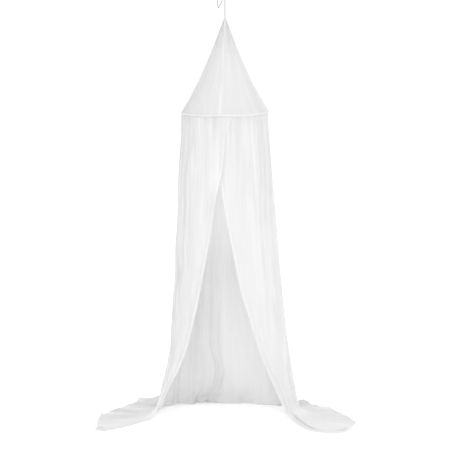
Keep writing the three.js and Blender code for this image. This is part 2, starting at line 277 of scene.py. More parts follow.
# %% [markdown]
# ## The cotton's finish
# The canopy is made of one fine white cotton, a thin plain weave that has been washed and hangs in small
# crinkles. From near, single threads show, a few of them thicker than the rest. From far, only the crinkles
# are seen, soft bands where the threads lie closer, and the light that comes through the cloth. A thin cloth
# both reflects light and lets some through to its other side, so the surface is a mix of a matt shader and a
# translucent one.
#
# Some of the pattern depends on where the cloth is, so the meshes carry numbers that the material reads.
# from_edge is how far a point is from the cloth's finished edge, which places the row of stitches. lively
# says how strongly the cloth crinkles, and creased where it is folded flat beside its hem. Two more numbers
# paint light and shade into the colour. One marks where painted light makes the cloth lighter, as over the
# white floor, and in its double hems partly for the double cloth. The other marks where painted shade makes
# it darker, for the shade where more cloth lies behind it and keeps light out.

# %% Cotton
THREAD = 0.00045  # from one thread of the weave to the next
THREAD_RISE = 0.000012  # how far a thread stands up where it passes over another
THICK_THREADS = 0.00004  # how far the thicker threads stand up
STITCH = 0.0028  # length of one stitch with its gap
HEM = 0.017  # width of the turned hem
FLAT_STRIP = 0.047  # how far from the front edge the crease on the floor runs
CREASE_HALF = 0.009  # half the width of that crease
CREASE_DEPTH = 0.0022
CREASE_PAINTED_SHADE = 0.35  # how much painted shade the bottom of that crease gets
COTTON_LIGHT = (0.805, 0.805, 0.805, 1)
COTTON_DIM = (0.715, 0.715, 0.715, 1)
# colour for painted light, where the cloth is shown lighter than its own tone
COTTON_PAINTED_LIGHT = (0.87, 0.87, 0.87, 1)
# colour for painted shade, where the cloth is shown darker than its own tone
COTTON_PAINTED_SHADE = (0.60, 0.60, 0.60, 1)
# the cone's cotton has a darker light tone than the widths', as painted shade
CONE_LIGHT_PAINTED_SHADE = (0.775, 0.775, 0.775, 1)
CONE_DIM = (0.715, 0.715, 0.715, 1)
LETS_THROUGH = 0.56


def weave(finish, across, down):
    """Height of the threads, in metres: warp and weft pass over each other in turn."""
    over = (across * (tau / THREAD)).sine() * (down * (tau / THREAD)).sine()
    thick_warp = finish.patches(across * 900, down * 12)
    thick_weft = finish.patches(across * 12, down * 900)
    return over * THREAD_RISE + (thick_warp + thick_weft) * THICK_THREADS


def crinkles(finish, across, down):
    """Height of the washed cloth's small crinkles, long down the cloth and narrow across it. They are
    strongest where the mesh says that the cloth is lively, and weakest where it hangs calm."""
    broad = finish.patches(across * 55, down * 5, detail=3, rough=0.6)
    narrow = finish.patches(across * 110, down * 12, detail=3, rough=0.6)
    return (broad * 0.0026 + narrow * 0.0013) * finish.fact("lively")


def warp_streaks(finish, across, down):
    """Where the threads that run down the cloth lie closer or wider apart, from 0 to 1: broad bands with
    finer streaks in them, which are stronger where the cloth is lively."""
    broad = finish.patches(across * 22 + 3.7, down * 1.1, detail=1)
    wide = finish.patches(across * 60, down * 2.5, detail=2)
    narrow = finish.patches(across * 140, down * 5, detail=2)
    bands = (finish.ease(broad, 0.36, 0.64) - 0.5) * 0.5
    streaks = (finish.ease(wide * 0.4 + narrow * 0.6, 0.38, 0.62) - 0.5) * 0.62
    return 0.5 + (bands + streaks) * finish.fact("lively")


def hem_stitches(finish, along):
    """Height of the row of stitches on a hem, where the cloth is drawn in."""
    edge = finish.fact("from_edge")
    row = 1 - finish.ease((edge - (HEM - 0.002)).size(), 0.0003, 0.0011)
    dash = finish.ease(((along / STITCH).fraction() - 0.5).size(), 0.3, 0.46)
    step = finish.ease(edge, HEM - 0.0004, HEM + 0.0006)
    return row * -0.0005 + row * dash * 0.0004 - step * 0.0006


def off_crease(finish, bottom):
    """0 in the crease beside the flat strip along the front edge, and 1 away from it. bottom is half the
    width of the crease's bottom."""
    beside = (finish.fact("from_edge") - FLAT_STRIP).size()
    return finish.ease(beside, bottom, CREASE_HALF)


def cotton(name, hemmed=False, creases="cloth_metres", light=COTTON_LIGHT, dim=COTTON_DIM):
    """The cotton. A hemmed one also has stitches, and the crease beside the flat strip, which gets painted
    shade.
    """
    finish = Finish(name)
    across, down = finish.cloth_place()
    hanging = finish.cloth_place(creases)
    relief = weave(finish, across, down) + crinkles(finish, *hanging)
    # painted shade, read from the mesh
    painted_shade = finish.fact("painted_shade")
    if hemmed:
        creased = finish.fact("creased")
        relief = relief + hem_stitches(finish, across + down)
        relief = relief + off_crease(finish, 0) * creased * CREASE_DEPTH
        # painted shade in the bottom of the crease
        painted_shade = painted_shade + (1 - off_crease(finish, 0.001)) * creased * CREASE_PAINTED_SHADE
    colour = finish.tint(warp_streaks(finish, *hanging), dim, light)
    # painted light and painted shade, mixed into the colour from the mesh's numbers
    colour = finish.tint(finish.fact("painted_light"), colour, COTTON_PAINTED_LIGHT)
    colour = finish.tint(painted_shade, colour, COTTON_PAINTED_SHADE)
    normal = finish.relief(relief)
    sockets = {"Base Color": colour, "Roughness": 0.92, "Normal": normal, "Sheen Weight": 0.08}
    sockets["Specular IOR Level"] = 0.2
    matt = finish.node("ShaderNodeBsdfPrincipled", sockets=sockets)
    through = finish.node("ShaderNodeBsdfTranslucent", sockets={"Color": colour, "Normal": normal})
    mixed = finish.node("ShaderNodeMixShader", sockets={0: LETS_THROUGH, 1: matt, 2: through})
    return finish.surface(mixed)


panel_cotton = cotton("hemmed_cotton", hemmed=True, creases="creases")
casing_cotton = cotton("casing_cotton")
cone_cotton_painted_shade = cotton("cone_cotton_painted_shade", creases="creases", light=CONE_LIGHT_PAINTED_SHADE, dim=CONE_DIM)
print("thread pitch", THREAD * 1000, "mm, hem", HEM * 1000, "mm")

# %% [markdown]
# ## The cord
# The canopy hangs from one cotton cord, laid from three strands, which its weight holds taut. It comes up
# out of the cone, is knotted, and makes a loop for the ceiling hook. Two spare ends hang beside it and are
# knotted together. A laid cord has a section with three lobes that turns as it goes, so its mesh is a tube
# with that section. A knot is the same cord wound round itself, for which a trefoil curve gives the turns.

# %% Cord tools
CORD = 0.003
LAY = 0.011  # how far along the cord one strand takes to go once round
LOBES = 0.14  # how deep the grooves between the strands are, as a share of the cord's radius
LOOP_TOP = 2.332  # height of the loop's inside top above the floor


def down_from_loop(points):
    """Points in millimetres above the floor as metres in the canopy's frame."""
    return np.array(points) / 1000 - (0, 0, LOOP_TOP)


def smooth_route(points, spacing):
    """A smooth line through the points, in steps of about the spacing."""
    padded = np.concatenate([[2 * points[0] - points[1]], points, [2 * points[-1] - points[-2]]])
    route = []
    for before, start, end, after in zip(padded, padded[1:], padded[2:], padded[3:]):
        steps = max(2, round(float(np.linalg.norm(end - start)) / spacing))
        for t in np.arange(steps) / steps:
            bend = (2 * before - 5 * start + 4 * end - after) * t**2
            bend = bend + (3 * start - before - 3 * end + after) * t**3
            route.append(start + 0.5 * ((end - before) * t + bend))
    return np.array([*route, points[-1]])


def laid_cord(name, route, diameter, sides=18):
    """A tube along a route, with the section of a cord of three strands."""
    ahead = np.gradient(route, axis=0)
    ahead /= np.linalg.norm(ahead, axis=1)[:, None]
    side = np.cross(ahead[0], (0.1, 1, 0.2))
    along = run_lengths(route, 0)
    turn = np.linspace(0, tau, sides, endpoint=False)
    rings = []
    for point, forward, distance in zip(route, ahead, along):
        side = side - forward * side.dot(forward)
        side /= np.linalg.norm(side)
        up = np.cross(forward, side)
        lobes = 1 - LOBES + LOBES * np.abs(np.cos(1.5 * (turn - tau * distance / LAY)))
        radius = (diameter / 2 * lobes)[:, None]
        rings.append(point + radius * (np.cos(turn)[:, None] * side + np.sin(turn)[:, None] * up))
    around = np.linspace(0, pi * diameter, sides + 1)
    uv = np.stack(np.broadcast_arrays(along[:, None], around[None, :]), axis=-1)
    cord = grid_mesh(name, np.array(rings), {"cloth_metres": uv}, wrap_down=True)
    only(cord)
    bpy.ops.object.mode_set(mode="EDIT")
    bpy.ops.mesh.select_all(action="SELECT")
    bpy.ops.mesh.fill_holes(sides=0)
    bpy.ops.mesh.normals_make_consistent(inside=False)
    bpy.ops.object.mode_set(mode="OBJECT")
    smooth(cord, 70)
    return cord


def knot(name, middle, across, tall, strand):
    """A knot that fills a lump of the given size: a cord along a trefoil curve."""
    t = np.linspace(0, tau, 97)
    curve = np.stack([np.sin(t) + 2 * np.sin(2 * t), -np.sin(3 * t), np.cos(t) - 2 * np.cos(2 * t)], axis=-1)
    size = curve.max(axis=0) - curve.min(axis=0)
    wanted = np.array([across, across, tall]) - strand
    return laid_cord(name, middle + curve * (wanted / size), strand)


# %% Cord finish
# the cord's dark grey is partly its own colour and partly painted shade
CORD_DARK_PAINTED_SHADE = (0.12, 0.12, 0.115, 1)
CORD_PALE_PAINTED_SHADE = (0.17, 0.17, 0.16, 1)


def cord_finish():
    """Cotton painted dark grey, partly its own grey and partly painted shade on the thin cord, with fibres
    that lie along the cord, and paler where it is worn.
    """
    finish = Finish("cotton_cord")
    along, around = finish.cloth_place()
    fibre = finish.patches(along * 2600 + around * 1800, around * 400, detail=2)
    worn = finish.patches(along * 120, around * 60, detail=3)
    colour = finish.tint(finish.ease(worn, 0.3, 0.7), CORD_DARK_PAINTED_SHADE, CORD_PALE_PAINTED_SHADE)
    sockets = {"Base Color": colour, "Roughness": 0.88, "Normal": finish.relief(fibre * 0.00012)}
    sockets["Sheen Weight"] = 0.15
    return finish.surface(finish.node("ShaderNodeBsdfPrincipled", sockets=sockets))


cord_cotton = cord_finish()

# %% Cord routes, in millimetres above the floor
CORD_ROUTES = {
    "hanging_cord": [(0, 0, 2153), (0, 0, 2200), (0, 0, 2245), (0, 0, 2289.5)],
    "hanging_loop": [
        (-2.2, 0, 2302.4), (-5.5, 0, 2310), (-8.5, 0, 2319), (-7.5, 0, 2328), (0, 0, 2333.5),
        (7.5, 0, 2328), (8.5, 0, 2319), (5.5, 0, 2310), (2.2, 0, 2302.4),
    ],
    "tail_strand_left": [
        (-5.5, -1, 2297), (-14, -2, 2302), (-26, -3, 2301), (-36, -4, 2292), (-40.5, -4, 2276),
        (-41, -4, 2258), (-39, -4, 2243), (-36.4, -4, 2230.5),
    ],
    "tail_strand_right": [
        (-3.6, -3, 2290.6), (-9, -4, 2277), (-14, -4, 2264), (-21, -4, 2248), (-31.5, -4, 2230.6),
    ],
}
KNOTS = {  # middle, width and height, and the thickness of its cord in metres
    "stopper_knot": ((0, 0, 2148), 10, 9, CORD),
    "loop_knot": ((0, 0, 2296), 10, 12, CORD),
    "tail_knot": ((-35, -4, 2226), 7, 7, CORD * 0.7),
}

cords = {}
for name, points in CORD_ROUTES.items():
    route = smooth_route(down_from_loop(points), CORD / 4)
    piece = laid_cord(name + "_laid", route, CORD)
    cords[name] = (piece, route)
    print(name, round(float(run_lengths(route, 0)[-1]) * 1000), "mm long")
knots = {}
for name, (middle, across, tall, strand) in KNOTS.items():
    knots[name] = knot(name + "_tied", down_from_loop(middle), across / 1000, tall / 1000, strand)
corded = {name: piece for name, (piece, route) in cords.items()} | knots
for name, piece in corded.items():
    piece.data.materials.append(cord_cotton)
    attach(piece, "root")
    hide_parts(name)


# %% [markdown]
# ## The hoop's place
# The hoop hangs a little out of level, lower at the front and at the left, because the cloth pulls on it
# unevenly. Everything that is sewn to it follows, so one function gives places in the hoop's own tilted
# frame.

# %% Hoop frame
HOOP_LOW, HOOP_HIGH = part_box("hoop")
HOOP_MIDDLE = (HOOP_LOW + HOOP_HIGH) / 2
HOOP_TUBE = 0.0035
HOOP_RADIUS = 0.229
HOOP_TILT = Matrix.Rotation(radians(2.4), 3, "X") @ Matrix.Rotation(radians(-0.9), 3, "Y")
CASING_RADIUS = 0.0064
GAP = 0.0004  # clear space between pieces that are sewn together


def on_hoop(angle, radius, up):
    """Points in the hoop's frame: an angle in radians, a radius and a height over the hoop's middle."""
    angle, radius, up = np.broadcast_arrays(angle, radius, up)
    flat = np.stack([radius * np.cos(angle), radius * np.sin(angle), up], axis=-1)
    return flat @ np.array(HOOP_TILT).T + np.array(HOOP_MIDDLE)


print("hoop middle", [round(x, 4) for x in HOOP_MIDDLE])

# %% [markdown]
# ## The hoop
# The real one is a bought ring of white plastic rod, and it only shows from inside, through the open side of
# its sleeve. A torus primitive has the right shape from the start. It is added at the hoop's size, place and
# tilt, which are then applied to its mesh, so that the finished object stays unturned.

# %% Hoop
PLASTIC_YELLOWED = (0.80, 0.79, 0.75, 1)
PLASTIC_CLEAN = (0.86, 0.85, 0.82, 1)


def hoop_finish():
    finish = Finish("hoop_plastic")
    at = finish.node("ShaderNodeTexCoord", output=3)
    speckle = finish.cloud(at, scale=900)
    rubbed = finish.ease(finish.cloud(at, scale=30, detail=4), 0.35, 0.65)
    colour = finish.tint(rubbed, PLASTIC_YELLOWED, PLASTIC_CLEAN)
    rough = 0.42 + rubbed * 0.12
    sockets = {"Base Color": colour, "Roughness": rough, "Normal": finish.relief(speckle * 0.00003)}
    return finish.surface(finish.node("ShaderNodeBsdfPrincipled", sockets=sockets))


bpy.ops.object.select_all(action="DESELECT")
bpy.ops.mesh.primitive_torus_add(
    major_segments=288, minor_segments=16, major_radius=HOOP_RADIUS, minor_radius=HOOP_TUBE,
    location=HOOP_MIDDLE, rotation=HOOP_TILT.to_euler(),
)
bpy.ops.object.transform_apply(location=True, rotation=True, scale=True)
hoop_ring = bpy.context.object
hoop_ring.name = "hoop_ring"
smooth(hoop_ring, 60)
hoop_ring.data.materials.append(hoop_finish())
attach(hoop_ring, "root")
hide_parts("hoop")
print("hoop ring", triangles(hoop_ring), "triangles")

# %% [markdown]
# ## Ripples
# Washed cotton never hangs smooth: it carries gathers from the seam that it is sewn into, long soft ripples,
# and small crumples where it meets the floor. They come from smooth noise, stretched along the cloth, which
# moves the surface along its own direction outwards. The noise always gives the same values at the same
# place.

# %% Noise and lifting
def ripple(across, down, seed):
    """Smooth noise from about -1 to 1, with one ripple for each unit, at arrays of places."""
    across, down = np.broadcast_arrays(across, down)
    values = [noise.noise((x, y, seed)) for x, y in zip(across.ravel(), down.ravel())]
    return np.array(values).reshape(across.shape) * 1.6


def ripples(across, down, seed, layers):
    """Ripples on top of each other. Each layer has a height, a ripple's width and length, and a seed."""
    return sum(height * ripple(across / wide, down / long, seed + own) for height, wide, long, own in layers)


def facing(points):
    """The direction at right angles to a grid's surface, at each of its points."""
    direction = np.cross(np.gradient(points, axis=0), np.gradient(points, axis=1))
    return direction / np.maximum(np.linalg.norm(direction, axis=-1, keepdims=True), 1e-9)


def bump(distance, width):
    """1 at the middle of a fold, 0 from its width outwards."""
    return np.where(np.abs(distance) < width, np.cos(pi / 2 * np.clip(distance / width, -1, 1)) ** 2, 0)


# %% [markdown]
# ## The hoop's sleeve
# A strip of the same cotton is folded round the hoop and caught into the seam below it, so that the sleeve
# is open along a slit that faces in and down. It puckers where it is drawn tight round the rod. It is a
# strip bent into an arc and swept round the hoop, made thick at the end.

# %% Sleeve
SLEEVE_CLOTH = 0.0010
SLEEVE_PAINTED_LIGHT = 0.55  # how much painted light the sleeve gets, partly for being double
SLIT_FACES = radians(225)
SLIT_HALF = radians(14)
PUCKERS = ((1, 0.007, 1 / 0.4, 3.5), (0.6, 0.018, 1 / 0.7, 8.5))


def sleeve():
    around = np.linspace(0, tau, 640, endpoint=False)[:, None]
    section = np.linspace(SLIT_FACES + SLIT_HALF, SLIT_FACES + tau - SLIT_HALF, 15)[None, :]
    pucker = ripples(around * HOOP_RADIUS, section, 0, PUCKERS)
    inside = ease(np.cos(section - SLIT_FACES), -0.2, 0.9)
    radius = CASING_RADIUS - 0.0009 + 0.00035 * pucker * (1 - inside)
    points = on_hoop(around, HOOP_RADIUS + radius * np.cos(section), radius * np.sin(section))
    closed = np.append(around.ravel(), tau) * HOOP_RADIUS
    uv = np.stack(np.broadcast_arrays(closed[:, None], section * CASING_RADIUS), axis=-1)
    # the sleeve's painted light
    facts = {"lively": np.full(radius.shape, 0.4), "painted_light": np.full(radius.shape, SLEEVE_PAINTED_LIGHT)}
    strip = grid_mesh("hoop_sleeve", points, {"cloth_metres": uv}, wrap_across=True, facts=facts)
    thicken(strip, SLEEVE_CLOTH)
    smooth(strip)
    strip.data.materials.append(casing_cotton)
    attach(strip, "root")
    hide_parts("hoop_casing")
    return strip


hoop_sleeve = sleeve()

# %% [markdown]
# ## The cone
# The cone is one piece of cotton, closed by a seam at the front, a little to the left. The cord pulls it up
# from its tip and the hoop holds it open, so it is stretched nearly straight, drawn in a little half way,
# with soft creases that are weakest at the front. Its seam is a narrow welt, pressed flat half way down. Its
# lower edge is folded down over the sleeve. Its seam and lower edge are painted lighter, partly for the
# double cloth and partly as painted light, and near the tip it has painted shade. The lighter tone of its
# cotton is painted a little darker than the widths', as painted shade. Lines from the tip to the hoop make
# the surface.
# It has two UV maps: the flat pattern, for the weave, and the angle and the slope, for creases that run down
# it.

# %% Cone measures
CLOTH = 0.0011  # thickness of a single layer with its finest crinkles
CONE_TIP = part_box("cone_top")[1].z - 0.001
CONE_TIP_RADIUS = 0.0032
CONE_STRAIGHT = 0.8  # 1 would make its side a straight line
CONE_OVER_HOOP = 0.0035
CONE_OVER_CASING = 0.0006
CONE_EDGE_TURNS = (45, 33, 21, 9, -2, -11, -18)  # where the lower edge lies round the sleeve, in degrees
CONE_SEAM_ANGLE = -97.3
CONE_FRONT_ANGLE = -95
CONE_PAINTED_LIGHT = 0.45  # painted light on the cone's seam and lower edge, partly for their double cloth
# painted shade near the tip
CONE_TIP_PAINTED_SHADE = 0.35
CONE_FOLDS = (  # angle round the hoop and half width in degrees, height in metres
    (-150, 24, -0.004), (-122, 18, 0.003), (-60, 20, -0.004), (-25, 22, 0.004),
    (20, 24, -0.004), (70, 28, 0.004), (120, 26, -0.004), (170, 24, 0.004),
)
CONE_CREASES = (  # height and width in metres, length as a share of the slope, and seed
    (0.0012, 0.055, 1 / 1.5, 1.5), (0.0008, 0.028, 1 / 2, 6.5), (0.0005, 0.014, 1 / 3, 9.5),
)


# %% Cone relief
def apart(turned, angle):
    """How far a place that is turned from the cone's seam lies from an angle round the hoop, in degrees."""
    return (turned + CONE_SEAM_ANGLE - angle + 180) % 360 - 180


def cone_front(turned):
    """1 at the front of the cone, where its cloth is smoothest, and 0 from its sides round to its back."""
    return bump(apart(turned, CONE_FRONT_ANGLE), 58)


def cone_relief(turned, down):
    """How far folds, creases and the cloth's lap at its seam lift the cone's cloth."""
    height = 0.0022 * bump(apart(turned, CONE_SEAM_ANGLE), 7)
    for angle, width, tall in CONE_FOLDS:
        height = height + tall * bump(apart(turned, angle), width) * np.sin(pi * down)
    height = height * ease(down, 0, 0.3) * ease(down, 1, 0.8)
    creases = ripples(np.radians(turned) * HOOP_RADIUS, down, 0, CONE_CREASES)
    free = ease(down, 0, 0.15) * ease(down, 1, 0.93)
    return height + creases * free * (1.3 - 1.1 * cone_front(turned))


def seam_strip(turned, down, half, fade):
    """1 on the cone's seam, for half its width, then fading out. It is weaker where the seam is flat."""
    beside = np.abs(apart(turned, CONE_SEAM_ANGLE)) * radians(1) * np.maximum(HOOP_RADIUS * down, 0.004)
    return ease(beside, half + fade, half) * (1 - 0.7 * bump(down - 0.6, 0.28))


# %% Cone surface
def cone_points(turned, down, section):
    """Lines from the tip down to the hoop, which then go on round the outer side of the sleeve."""
    angle = np.radians(turned + CONE_SEAM_ANGLE)
    base = on_hoop(angle, HOOP_RADIUS + CONE_OVER_HOOP, CASING_RADIUS + CONE_OVER_CASING)
    flat, under_tip = base[..., :2], base[..., 2] - CONE_TIP
    reach = np.linalg.norm(flat, axis=-1, keepdims=True)
    tip = flat / reach * CONE_TIP_RADIUS
    share = (CONE_STRAIGHT * down + (1 - CONE_STRAIGHT) * down**3)[..., None]
    height = CONE_TIP + under_tip * down
    points = np.concatenate([tip + (flat - tip) * share, height[..., None]], axis=-1)
    outwards = np.concatenate([flat / reach, -reach / under_tip[..., None]], axis=-1)
    outwards /= np.linalg.norm(outwards, axis=-1, keepdims=True)
    lift = cone_relief(turned, down) + 0.0011 * seam_strip(turned, down, 0.0025, 0.0020)
    radius = CASING_RADIUS + 0.0012 + 0.0003 * ripple(angle * HOOP_RADIUS / 0.009, section, 12.5)
    edge = on_hoop(angle, HOOP_RADIUS + radius * np.cos(section), radius * np.sin(section))
    return np.concatenate([points + outwards * lift[..., None], edge], axis=1)


def cone_maps(turned, slope):
    """The flat pattern, which is a fan, and the map that the creases run down."""
    slope = np.concatenate([slope, slope[:1]])
    all_round = np.radians(np.append(turned.ravel(), 360))[:, None]
    fan = all_round * (HOOP_RADIUS / slope[0, -1]) + 0 * slope
    pattern = np.stack([slope * np.sin(fan), slope * np.cos(fan)], axis=-1)
    creases = np.stack(np.broadcast_arrays(all_round * HOOP_RADIUS, slope), axis=-1)
    return {"cloth_metres": pattern, "creases": creases}


def cone_facts(turned, down, section):
    """Where the cone gets painted light and painted shade, and how strongly it crinkles."""
    edge = 0 * (turned + section)
    seam = CONE_PAINTED_LIGHT * seam_strip(turned, down, 0.0035, 0.0025)
    tip = CONE_TIP_PAINTED_SHADE * ease(down, 0.5, 0) + 0 * turned
    painted_light = np.concatenate([seam, edge + CONE_PAINTED_LIGHT], axis=1)
    painted_shade = np.concatenate([tip, edge], axis=1)
    return {"painted_light": painted_light, "painted_shade": painted_shade, "lively": 0.7 - 0.48 * cone_front(turned) + 0 * painted_light}


def cone():
    turned = np.linspace(0, 360, 300, endpoint=False)[:, None]
    down = np.linspace(0, 1, 96)[None, :]
    section = np.radians(CONE_EDGE_TURNS)[None, :]
    points = cone_points(turned, down, section)
    slope = run_lengths(points, 1)
    facts = cone_facts(turned, down, section)
    piece = grid_mesh("cone_cloth", points, cone_maps(turned, slope), wrap_across=True, facts=facts)
    thicken(piece, CLOTH)
    smooth(piece)
    piece.data.materials.append(cone_cotton_painted_shade)
    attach(piece, "root")
    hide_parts("cone_top")


cone()

# %% [markdown]
# ## The two widths of the drape
# Each width is sewn to the hoop by its upper edge, and to the other one at the back. It hangs nearly
# straight at the back, is drawn out to the side and front lower down, bends where it meets the floor and
# runs out over it. A table of guide lines says where a few lines of the cloth go, and smooth curves fill in
# the rest. A second table lists the main folds. Both tables are the same as for the solids that this cloth
# replaces, and the finer shapes that come later are made only here.

# %% Guide lines
CLOTH_ON_FLOOR = 0.0010  # the middle of the cloth lies this far above the floor
OVER_HOOP = 0.0025
WAIST, KNEE, ANKLE = 1.050, 0.420, 0.140  # heights above the floor

# Each guide has its place across, from the back seam, 0, to the front edge, 1. Then come its plan positions
# at the waist, knee and ankle, the size of the bend where the cloth meets the floor, and where its hem lies.
BACK_SEAM = (0.0, (-0.062, 0.255), (-0.080, 0.266), (-0.080, 0.270), 0.028, (-0.140, 0.600))
LEFT_GUIDES = (
    BACK_SEAM,
    (0.2, (-0.190, 0.195), (-0.212, 0.220), (-0.226, 0.236), 0.032, (-0.330, 0.520)),
    (0.4, (-0.250, 0.085), (-0.286, 0.118), (-0.316, 0.165), 0.045, (-0.470, 0.370)),
    (0.6, (-0.250, -0.070), (-0.295, -0.008), (-0.337, 0.058), 0.068, (-0.588, 0.165)),
    (0.8, (-0.186, -0.190), (-0.268, -0.130), (-0.346, -0.052), 0.080, (-0.685, -0.045)),
    (1.0, (-0.070, -0.262), (-0.200, -0.232), (-0.318, -0.140), 0.080, (-0.688, -0.420)),
)
RIGHT_GUIDES = (
    BACK_SEAM,
    (0.2, (0.085, 0.255), (0.092, 0.262), (0.098, 0.262), 0.028, (0.170, 0.520)),
    (0.4, (0.236, 0.150), (0.272, 0.170), (0.298, 0.190), 0.042, (0.432, 0.315)),
    (0.6, (0.274, -0.010), (0.340, 0.035), (0.378, 0.080), 0.068, (0.618, 0.095)),
    (0.8, (0.188, -0.190), (0.305, -0.130), (0.368, -0.045), 0.076, (0.706, -0.215)),
    (1.0, (0.005, -0.256), (0.176, -0.250), (0.285, -0.136), 0.080, (0.628, -0.445)),
)

# %% Main folds
# Each fold has its middle at the hoop, how far that has moved by the hem, and half its width, as shares of
# the width of cloth. Then comes its height in millimetres at the hoop, waist, knee, on the floor and at the
# hem.
FOLD_STATIONS = (0, 0.37, 0.78, 1.5, 3)
LEFT_FOLDS = (
    (0.05, 0.0, 0.05, (1, 3, 8, 10, 6)),
    (0.14, 0.01, 0.045, (-2, -5, -9, -10, 0)),
    (0.23, 0.01, 0.05, (2, 6, 10, 14, 12)),
    (0.33, 0.02, 0.05, (-2, -6, -10, -10, 0)),
    (0.42, 0.0, 0.045, (3, 5, 8, 16, 20)),
    (0.5, 0.0, 0.04, (-3, -5, -7, -8, 0)),
    (0.575, -0.02, 0.04, (1, 2, 5, 14, 18)),
    (0.65, -0.02, 0.04, (-1, -2, -6, -8, 0)),
    (0.73, -0.03, 0.045, (2, 3, 7, 10, 10)),
    (0.82, -0.02, 0.045, (-1, -2, -9, -10, 0)),
    (0.91, 0.0, 0.05, (1, 2, 8, 12, 8)),
)
RIGHT_FOLDS = (
    (0.03, 0.0, 0.04, (1, 8, 16, 12, 6)),
    (0.11, 0.0, 0.05, (-2, -3, -5, -6, 0)),
    (0.21, 0.01, 0.05, (2, 4, 7, 12, 10)),
    (0.31, 0.02, 0.05, (-2, -5, -8, -10, 0)),
    (0.41, 0.01, 0.045, (3, 6, 9, 14, 16)),
    (0.49, 0.0, 0.04, (-3, -6, -8, -8, 0)),
    (0.56, 0.0, 0.035, (3, 6, 8, 10, 14)),
    (0.63, 0.0, 0.035, (-1, -4, -8, -8, 0)),
    (0.7, 0.01, 0.04, (2, 3, 8, 10, 8)),
    (0.785, 0.01, 0.045, (-1, -3, -7, -8, 0)),
    (0.87, 0.0, 0.06, (0, 2, 7, 14, 10)),
    (0.965, 0.0, 0.025, (0, -1, -6, -12, -2)),
)

# %% The two widths
# hoop_angle: where a width starts and ends round the hoop, in degrees. side is 1 where across runs round the
# hoop against the way that angles grow. tuck: how much further in the front edge hangs than the back seam.
# bow: how far the front edge curves sideways over the floor. sway: heights, and how far it hangs off a plain
# curve at each of them, towards +X. cut: width of the cloth at its hem.
BOW_START = 2  # how steeply a front edge's bow starts: 4 would make it a parabola
LEFT_SWAY = ((0.950, 1.080, 1.250, 1.355, 1.490, 1.560, 1.650), (0, -0.003, -0.009, 0, -0.011, -0.016, 0))
RIGHT_SWAY = ((0.700, 0.820, 0.950, 1.250, 1.400, 1.650), (0, 0.004, 0.012, 0.011, 0.005, 0))
LEFT = SimpleNamespace(
    name="left", hoop_angle=(100, 279), tuck=0.0, bow=0.030, side=-1, cut=1.25, sway=LEFT_SWAY,
    guides=LEFT_GUIDES, folds=LEFT_FOLDS,
)
RIGHT = SimpleNamespace(
    name="right", hoop_angle=(100, -108.7), tuck=0.004, bow=-0.088, side=1, cut=1.60, sway=RIGHT_SWAY,
    guides=RIGHT_GUIDES, folds=RIGHT_FOLDS,
)
for panel in (LEFT, RIGHT):
    print(panel.name, "width:", len(panel.guides), "guide lines and", len(panel.folds), "main folds")


# %% One line of cloth
def through(stations, values, at):
    """A smooth curve through rows of values at rising stations, read at an array of places."""
    stations = np.asarray(stations, float)
    values = np.asarray(values, float).reshape(len(stations), -1)
    last = len(stations) - 1
    here = np.arange(last + 1)
    before, after = np.maximum(here - 1, 0), np.minimum(here + 1, last)
    slopes = (values[after] - values[before]) / (stations[after] - stations[before])[:, None]
    i = np.clip(np.searchsorted(stations, at) - 1, 0, last - 1)
    step = (stations[i + 1] - stations[i])[:, None]
    u = (at - stations[i])[:, None] / step
    curve = values[i] * (2 * u**3 - 3 * u**2 + 1) + values[i + 1] * (3 * u**2 - 2 * u**3)
    return curve + step * (slopes[i] * (u**3 - 2 * u**2 + u) + slopes[i + 1] * (u**3 - u**2))


def guide_line(top, waist, knee, ankle, turn, hem, bow, sway, down):
    """One line of cloth, from the hoop to the hem. down is 0 at the hoop, 1 where the bend starts, 2 where it
    ends and 3 at the hem. sway is heights, and how far the line goes sideways at each of them."""
    depths = np.array([0, top[2] - FLOOR - WAIST, top[2] - FLOOR - KNEE, top[2] - FLOOR - ANKLE])
    places = np.array([top[:2], waist, knee, ankle])
    floor = CLOTH_ON_FLOOR

    def hang(height):
        """Plan position at heights above the floor; below the ankle the line is straight."""
        above = through(depths, places, top[2] - FLOOR - np.maximum(height, ANKLE))
        fall = (ankle - knee) / (KNEE - ANKLE)
        return above + np.maximum(ANKLE - height, 0)[:, None] * fall

    drop, bend, run = down[down <= 1], down[(down > 1) & (down <= 2)] - 1, down[down > 2] - 2
    drop_height = (top[2] - FLOOR) * (1 - drop) + (turn + floor) * drop
    hanging = np.column_stack([hang(drop_height), drop_height])
    heights, sideways = sway
    hanging[:, 0] += through(heights, sideways, np.clip(drop_height, heights[0], heights[-1]))[:, 0]
    start, corner = hang(np.array([turn + floor, floor]))
    reach = hem - corner
    aside = np.array((-reach[1], reach[0])) / np.linalg.norm(reach) * bow
    ahead = reach + BOW_START * aside
    landing = corner + ahead / np.linalg.norm(ahead) * turn
    start, corner, end = np.array([(*start, turn + floor), (*corner, floor), (*landing, floor)])
    t = bend[:, None]
    bending = (1 - t) ** 2 * start + 2 * t * (1 - t) * corner + t**2 * end
    t = run[:, None]
    lying = landing + (hem - landing) * t + aside * t * (1 - t) * (BOW_START + 4 * t)
    lying = np.column_stack([lying, np.full(len(run), floor)])
    return np.concatenate([hanging, bending, lying]) + (0, 0, FLOOR)


